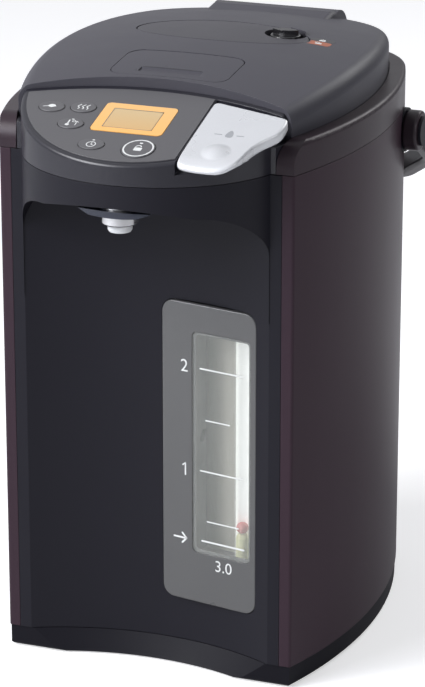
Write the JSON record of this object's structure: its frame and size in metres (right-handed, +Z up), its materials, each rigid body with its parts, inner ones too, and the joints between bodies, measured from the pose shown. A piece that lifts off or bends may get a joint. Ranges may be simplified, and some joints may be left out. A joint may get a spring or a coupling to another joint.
{
  "type": "electric thermo pot",
  "caption": "Electric water boiler and warmer with a scooped front, overhanging control beak, level gauge, hinged lid, dispensing lever and swinging carry handle",
  "frame": {"origin": "on the floor under the middle of the outer shell's widest section, in the plane of the feet", "axes": "+Z up, +X to the right seen from the front, the spout faces -Y"},
  "size_m": [0.2012, 0.2823, 0.3229],
  "materials": {
    "brown_metal": "dark brown metallic paint, satin",
    "brown_plastic": "dark brown metallic plastic",
    "black_plastic": "fine matt near-black plastic",
    "dark_grey_plastic": "dark grey satin plastic",
    "clear_plastic": "clear moulded window",
    "gauge_grey": "grey gloss frame",
    "white_plastic": "white moulded plastic",
    "red_plastic": "red float",
    "glass": "glass tube",
    "silver": "satin silver plating",
    "steel": "stainless steel",
    "rubber": "silicone or rubber",
    "board": "circuit board",
    "grey_plastic": "grey moulded plastic"
  },
  "bodies": {
    "casing": {"base_band": "black_plastic", "base_cover": "grey_plastic", "base_screws": "steel", "beak_housing": "black_plastic", "control_board": "board", "control_overlay": "dark_grey_plastic", "delivery_pipe": "rubber", "float_rest": "white_plastic", "front_panel": "black_plastic", "gauge_frame": "gauge_grey", "gauge_reflector": "white_plastic", "gauge_tube": "glass", "gauge_window": "clear_plastic", "handle_pivots": "black_plastic", "hinge_bracket": "grey_plastic", "hinge_pin": "steel", "inner_vessel": "steel", "key_switches": "grey_plastic", "lcd_module": "grey_plastic", "lcd_window": "clear_plastic", "lever_pin": "steel", "lever_switch": "grey_plastic", "nozzle_shroud": "black_plastic", "nozzle_tip": "grey_plastic", "outlet_nozzle": "silver", "outlet_pipe": "rubber", "plate_heater": "steel", "power_board": "board", "power_inlet": "grey_plastic", "pump_housing": "grey_plastic", "pump_motor": "grey_plastic", "rubber_feet": "rubber", "shoulder_ring": "brown_plastic", "side_shell": "brown_metal", "suction_pipe": "rubber", "temperature_sensor": "grey_plastic", "tube_seals": "rubber", "vacuum_jacket": "steel"},
    "lid": {"lid_cover": "black_plastic", "lid_base": "white_plastic", "lid_inner_plate": "steel", "lid_gasket": "rubber", "lid_insulation": "grey_plastic", "air_chamber": "white_plastic", "latch_pin": "steel"},
    "latch": {"latch_lever": "black_plastic"},
    "hook": {"latch_hook": "grey_plastic"},
    "push": {"push_plate": "dark_grey_plastic"},
    "knob": {"lock_knob": "dark_grey_plastic"},
    "lever": {"dispense_lever": "silver"},
    "handle": {"carry_handle": "brown_plastic"},
    "float": {"float_ball": "red_plastic"},
    "impeller": {"pump_impeller": "grey_plastic"},
    "key_power_save": {"key_power_save": "dark_grey_plastic"},
    "key_reboil": {"key_reboil": "dark_grey_plastic"},
    "key_keep_warm": {"key_keep_warm": "dark_grey_plastic"},
    "key_timer": {"key_timer": "dark_grey_plastic"},
    "key_unlock": {"key_unlock": "dark_grey_plastic"}
  },
  "joints": [
    {"name": "lid_hinge", "type": "hinge", "parent": "casing", "child": "lid", "pos_m": [0, 0.108, 0.3], "axis": [-1, 0, 0], "range_deg": [0, 85]},
    {"name": "latch_lift", "type": "hinge", "parent": "lid", "child": "latch", "pos_m": [0, -0.0309, 0.315], "axis": [-1, 0, 0], "range_deg": [0, 14], "stiffness_Nm_per_rad": 0.05, "springref_deg": -5.73},
    {"name": "hook_slide", "type": "slide", "parent": "lid", "child": "hook", "axis": [0, -1, 0], "range_m": [0, 0.0028]},
    {"name": "push_stroke", "type": "slide", "parent": "lid", "child": "push", "axis": [0, 0, -1], "range_m": [0, 0.013], "stiffness_N_per_m": 250, "springref_m": -0.01},
    {"name": "lock_turn", "type": "hinge", "parent": "lid", "child": "knob", "pos_m": [0.033, 0.028, 0.318], "axis": [0, 0, 1], "range_deg": [0, 90]},
    {"name": "lever_press", "type": "hinge", "parent": "casing", "child": "lever", "pos_m": [0.045, -0.0836, 0.30145], "axis": [1, 0, 0], "range_deg": [0, 3], "stiffness_Nm_per_rad": 0.6, "springref_deg": -2.86},
    {"name": "handle_swing", "type": "hinge", "parent": "casing", "child": "handle", "pos_m": [0, 0.062, 0.265], "axis": [1, 0, 0], "range_deg": [0, 120]},
    {"name": "float_rise", "type": "slide", "parent": "casing", "child": "float", "axis": [0, 0, 1], "range_m": [0, 0.104]},
    {"name": "impeller_spin", "type": "hinge", "parent": "casing", "child": "impeller", "pos_m": [0, -0.046, 0.036], "axis": [0, 0, 1], "continuous": true},
    {"name": "key_power_save_press", "type": "slide", "parent": "casing", "child": "key_power_save", "axis": [0, 0.279, -0.9603], "range_m": [0, 0.0005], "stiffness_N_per_m": 1200, "springref_m": -0.0003},
    {"name": "key_reboil_press", "type": "slide", "parent": "casing", "child": "key_reboil", "axis": [0, 0.279, -0.9603], "range_m": [0, 0.0005], "stiffness_N_per_m": 1200, "springref_m": -0.0003},
    {"name": "key_keep_warm_press", "type": "slide", "parent": "casing", "child": "key_keep_warm", "axis": [0, 0.279, -0.9603], "range_m": [0, 0.0005], "stiffness_N_per_m": 1200, "springref_m": -0.0003},
    {"name": "key_timer_press", "type": "slide", "parent": "casing", "child": "key_timer", "axis": [0, 0.279, -0.9603], "range_m": [0, 0.0005], "stiffness_N_per_m": 1200, "springref_m": -0.0003},
    {"name": "key_unlock_press", "type": "slide", "parent": "casing", "child": "key_unlock", "axis": [0, 0.279, -0.9603], "range_m": [0, 0.0005], "stiffness_N_per_m": 1200, "springref_m": -0.0003}
  ]
}
